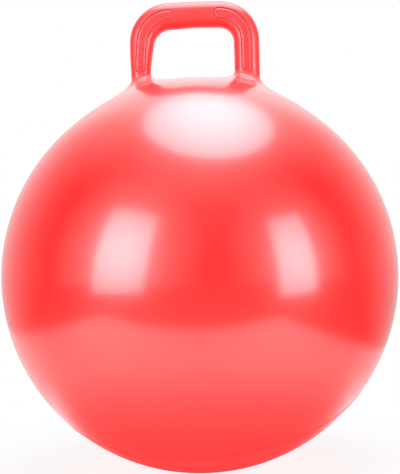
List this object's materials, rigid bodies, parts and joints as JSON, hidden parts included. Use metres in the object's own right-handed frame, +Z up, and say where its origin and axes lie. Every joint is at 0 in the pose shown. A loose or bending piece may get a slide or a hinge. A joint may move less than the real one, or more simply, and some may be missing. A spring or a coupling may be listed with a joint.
{
  "type": "hopper ball",
  "caption": "Inflatable hopper ball: a round vinyl ball to sit and bounce on, with a hollow loop handle on raised necks and a push-in valve plug at the back.",
  "frame": {"origin": "middle of the flat patch on which the ball rests, on the floor", "axes": "+Z up through the ball to the handle, the loop of the handle in the XZ plane, front towards -Y, valve at the back towards +Y"},
  "size_m": [0.4499, 0.4498, 0.534],
  "materials": {
    "ball_vinyl": "glossy pearl red vinyl",
    "handle_vinyl": "glossy red vinyl, stippled in the grip panels",
    "valve_rubber": "satin red vinyl, thicker than the skin",
    "plug_plastic": "satin white plastic"
  },
  "bodies": {
    "ball": {"ball_skin": "ball_vinyl", "handle": "handle_vinyl", "valve_seat": "valve_rubber"},
    "plug": {"valve_plug": "plug_plastic"}
  },
  "joints": [
    {"name": "plug_pull", "type": "slide", "parent": "ball", "child": "plug", "axis": [0, 1, 0], "range_m": [0, 0.03]}
  ]
}
